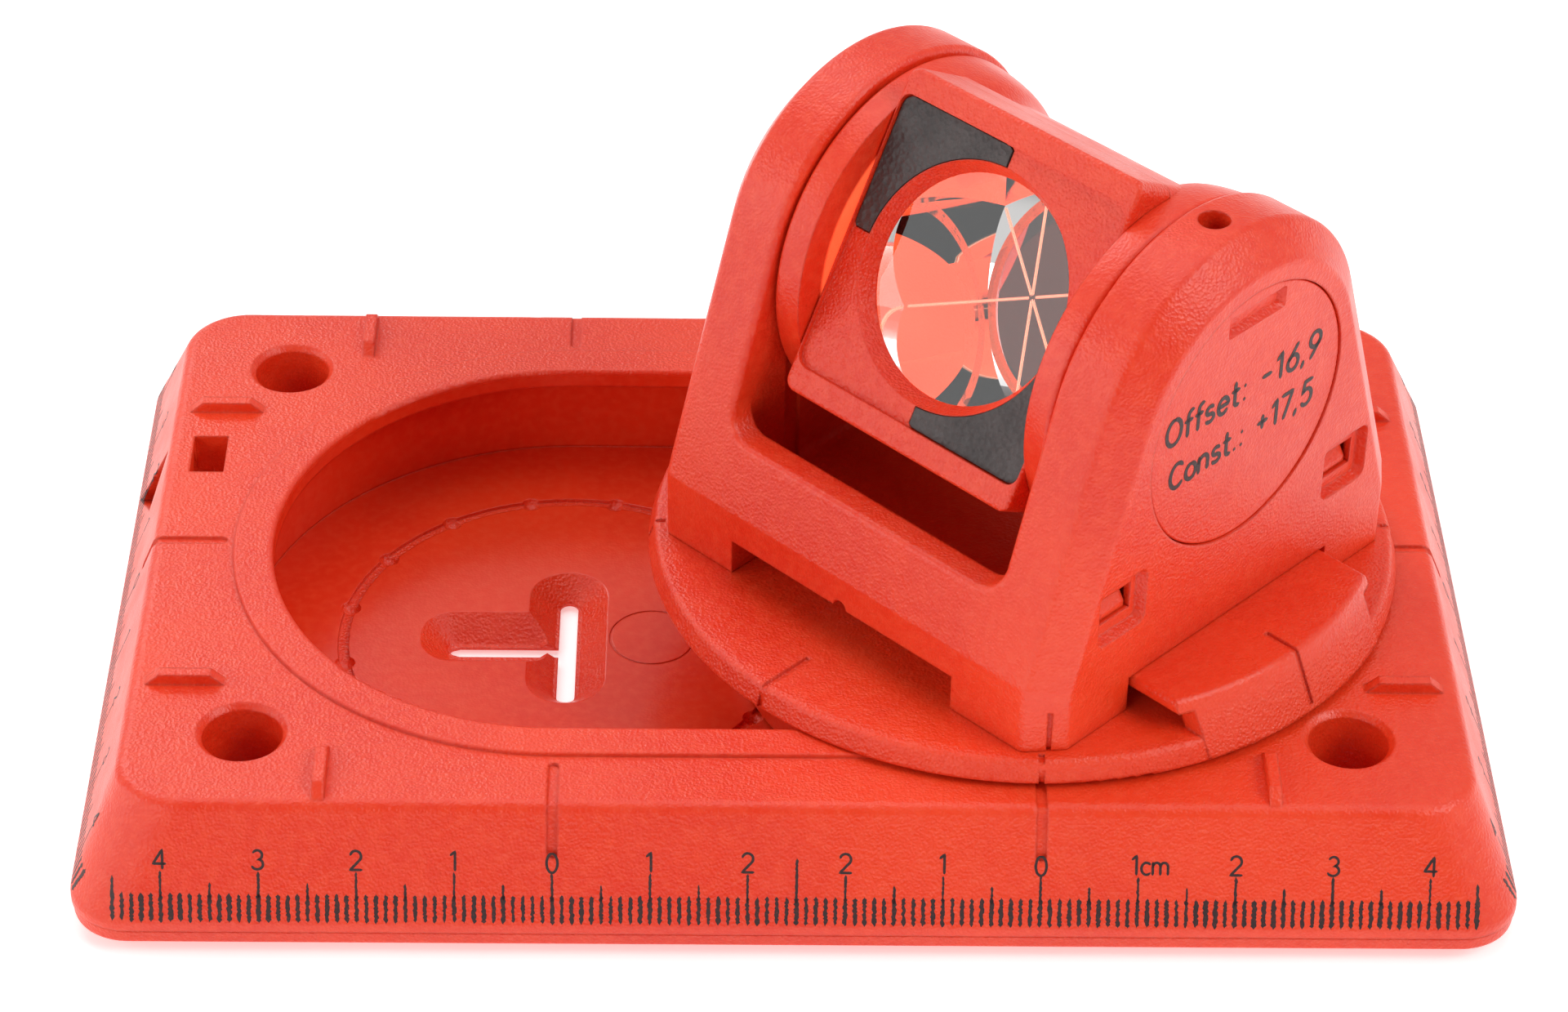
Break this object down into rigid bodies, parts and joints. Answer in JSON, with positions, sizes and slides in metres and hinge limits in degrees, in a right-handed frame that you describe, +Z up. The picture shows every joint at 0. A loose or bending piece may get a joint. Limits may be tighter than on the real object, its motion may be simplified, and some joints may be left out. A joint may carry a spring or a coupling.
{
  "type": "survey prism on a sliding base plate",
  "caption": "Survey reflector: corner-cube glass in a tilting head on a yoke and turntable, sliding along a scaled, bolt-down base plate.",
  "frame": {"origin": "middle of the base plate's underside", "axes": "+X along the scale to the right, +Y to the back away from the scale face, +Z up"},
  "size_m": [0.15, 0.0978, 0.0724],
  "materials": {
    "orange_plastic": "satin, fine spark-eroded grain",
    "black_target": "grained matt",
    "prism_glass": "polished",
    "steel": "plain",
    "acetal": "smooth",
    "seal_rubber": "smooth",
    "foam_rubber": "open cell"
  },
  "bodies": {
    "base": {"base_plate": "orange_plastic", "base_bottom": "orange_plastic"},
    "slider": {"retaining_ring": "acetal"},
    "head": {"turntable": "orange_plastic", "drum": "orange_plastic", "drum_screws": "steel", "yoke": "orange_plastic", "cap_right": "orange_plastic", "cap_left": "orange_plastic", "friction_discs": "acetal", "wave_springs": "steel", "clamp_screw": "steel"},
    "prism": {"bezel": "orange_plastic", "prism_back": "orange_plastic", "glass": "prism_glass", "gasket": "seal_rubber", "cushion": "foam_rubber", "target_upper": "black_target", "target_lower": "black_target", "frame_screws": "steel", "pivot_washers": "steel", "pivot_screws": "steel"}
  },
  "joints": [
    {"name": "station_slide", "type": "slide", "parent": "base", "child": "slider", "axis": [1, 0, 0], "range_m": [-0.05, 0]},
    {"name": "turn", "type": "hinge", "parent": "slider", "child": "head", "pos_m": [0.025, 0, 0.018], "axis": [0, 0, 1], "continuous": true},
    {"name": "tilt", "type": "hinge", "parent": "head", "child": "prism", "pos_m": [0.025, 0, 0.0494], "axis": [0.7071, -0.7071, 0], "continuous": true}
  ]
}
